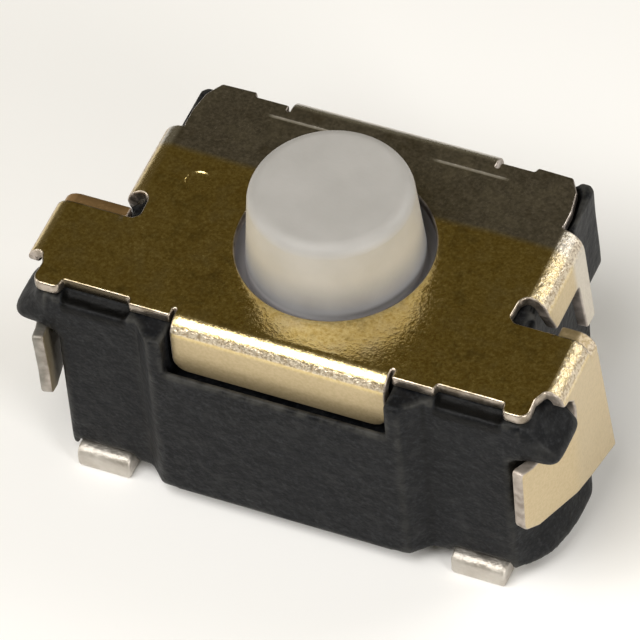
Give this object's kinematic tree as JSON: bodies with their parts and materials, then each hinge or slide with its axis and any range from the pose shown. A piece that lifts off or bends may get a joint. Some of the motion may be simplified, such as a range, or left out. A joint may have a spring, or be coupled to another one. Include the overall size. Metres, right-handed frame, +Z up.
{
  "type": "tactile push button switch",
  "caption": "Low surface-mount tactile switch: black moulded base, T-shaped folded metal cover, round white push button on a snap dome.",
  "frame": {"origin": "centre of the base on the plane of the solder terminals, under the button's axis", "axes": "+X along the long side, -Y towards the front flap and the wide tabs, +Z up along the button's axis"},
  "size_m": [0.006, 0.0036, 0.0035],
  "materials": {
    "black_plastic": "fine matt moulded surface",
    "plated_contact": "silver-plated copper alloy, satin",
    "spring_steel": "bright rolled spring strip",
    "white_plastic": "satin moulded resin",
    "warm_nickel": "satin rolled sheet with a fine pebble"
  },
  "bodies": {
    "housing": {"base_housing": "black_plastic", "center_contact": "plated_contact", "outer_contact": "plated_contact", "snap_dome": "spring_steel", "cover": "warm_nickel"},
    "plunger": {"button": "white_plastic"}
  },
  "joints": [
    {"name": "button_press", "type": "slide", "parent": "housing", "child": "plunger", "axis": [0, 0, -1], "range_m": [0, 0.00025], "stiffness_N_per_m": 6400, "deforming": ["snap_dome"]}
  ]
}
